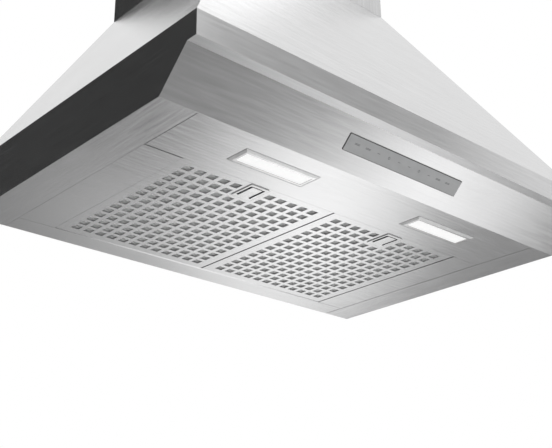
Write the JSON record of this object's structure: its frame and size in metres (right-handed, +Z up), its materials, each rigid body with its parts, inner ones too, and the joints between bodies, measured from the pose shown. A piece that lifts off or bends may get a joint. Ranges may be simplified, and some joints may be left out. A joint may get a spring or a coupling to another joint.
{
  "type": "wall mount range hood",
  "caption": "Wall mount chimney range hood: pyramid canopy, perforated drop-down grease filters, lights, sloping touch strip, blower, damper collar and telescopic chimney.",
  "frame": {"origin": "midway between the two wall hanging holes, on the wall plane", "axes": "+X to the right seen from the kitchen, +Y into the wall, +Z up"},
  "size_m": [0.762, 0.5118, 0.8779],
  "materials": {
    "stainless": "fine brushed, lines running across the hood",
    "bezel_steel": "satin",
    "latch_steel": "satin",
    "galvanised": "dull zinc with faint spangle",
    "screw_steel": "bright zinc plated",
    "aluminium_mesh": "layers of expanded mesh",
    "aluminium_frame": "mill finish",
    "control_face": "smooth grey touch face",
    "light_lens": "white diffuser, lit from behind",
    "circuit": "white circuit board",
    "motor_shell": "dark grey enamel",
    "black_plastic": "fine moulded texture",
    "impeller_steel": "bright zinc",
    "grey_plastic": "fine moulded texture"
  },
  "bodies": {
    "hood": {"canopy_front": "stainless", "canopy_side_left": "stainless", "canopy_side_right": "stainless", "canopy_back": "galvanised", "canopy_top": "galvanised", "light_panel": "stainless", "filter_surround": "stainless", "control_strip": "control_face", "control_module": "black_plastic", "light_bezel_left": "bezel_steel", "light_lens_left": "light_lens", "light_board_left": "circuit", "light_bezel_right": "bezel_steel", "light_lens_right": "light_lens", "light_board_right": "circuit", "scroll_wrap": "galvanised", "scroll_cheek_left": "galvanised", "scroll_cheek_right": "galvanised", "inlet_ring_left": "galvanised", "inlet_ring_right": "galvanised", "motor": "motor_shell", "motor_bracket": "galvanised", "duct_collar": "black_plastic", "collar_screws": "screw_steel", "scroll_screws": "screw_steel", "chimney_lower": "stainless", "electronics_box": "grey_plastic", "electronics_lid": "grey_plastic", "cable_gland": "black_plastic"},
    "filter_left": {"filter_cover_left": "stainless", "filter_mesh_left": "aluminium_mesh", "filter_frame_left": "aluminium_frame", "latch_plate_left": "latch_steel"},
    "filter_right": {"filter_cover_right": "stainless", "filter_mesh_right": "aluminium_mesh", "filter_frame_right": "aluminium_frame", "latch_plate_right": "latch_steel"},
    "latch_left": {"latch_tab_left": "latch_steel"},
    "latch_right": {"latch_tab_right": "latch_steel"},
    "rotor": {"impeller_hub": "impeller_steel", "impeller_blades_left": "impeller_steel", "impeller_blades_right": "impeller_steel", "impeller_ring_left": "impeller_steel", "impeller_ring_right": "impeller_steel", "motor_shaft": "screw_steel"},
    "damper_left": {"damper_flap_left": "black_plastic"},
    "damper_right": {"damper_flap_right": "black_plastic"},
    "chimney_top": {"chimney_upper": "stainless", "chimney_bracket": "galvanised"}
  },
  "joints": [
    {"name": "filter_left_swing", "type": "hinge", "parent": "hood", "child": "filter_left", "pos_m": [-0.1351, -0.0405, -0.1982], "axis": [1, 0, 0], "range_deg": [0, 75]},
    {"name": "latch_left_slide", "type": "slide", "parent": "filter_left", "child": "latch_left", "axis": [0, 1, 0], "range_m": [0, 0.005], "stiffness_N_per_m": 400},
    {"name": "filter_right_swing", "type": "hinge", "parent": "hood", "child": "filter_right", "pos_m": [0.1327, -0.0405, -0.1982], "axis": [1, 0, 0], "range_deg": [0, 75]},
    {"name": "latch_right_slide", "type": "slide", "parent": "filter_right", "child": "latch_right", "axis": [0, 1, 0], "range_m": [0, 0.005], "stiffness_N_per_m": 400},
    {"name": "impeller_spin", "type": "hinge", "parent": "hood", "child": "rotor", "pos_m": [0, -0.215, 0.05], "axis": [1, 0, 0], "continuous": true},
    {"name": "damper_left_lift", "type": "hinge", "parent": "hood", "child": "damper_left", "pos_m": [-0.005, -0.144, 0.2394], "axis": [0, 1, 0], "range_deg": [0, 80]},
    {"name": "damper_right_lift", "type": "hinge", "parent": "hood", "child": "damper_right", "pos_m": [0.005, -0.144, 0.2394], "axis": [0, -1, 0], "range_deg": [0, 80]},
    {"name": "chimney_slide", "type": "slide", "parent": "hood", "child": "chimney_top", "axis": [0, 0, 1], "range_m": [0, 0.36]}
  ]
}
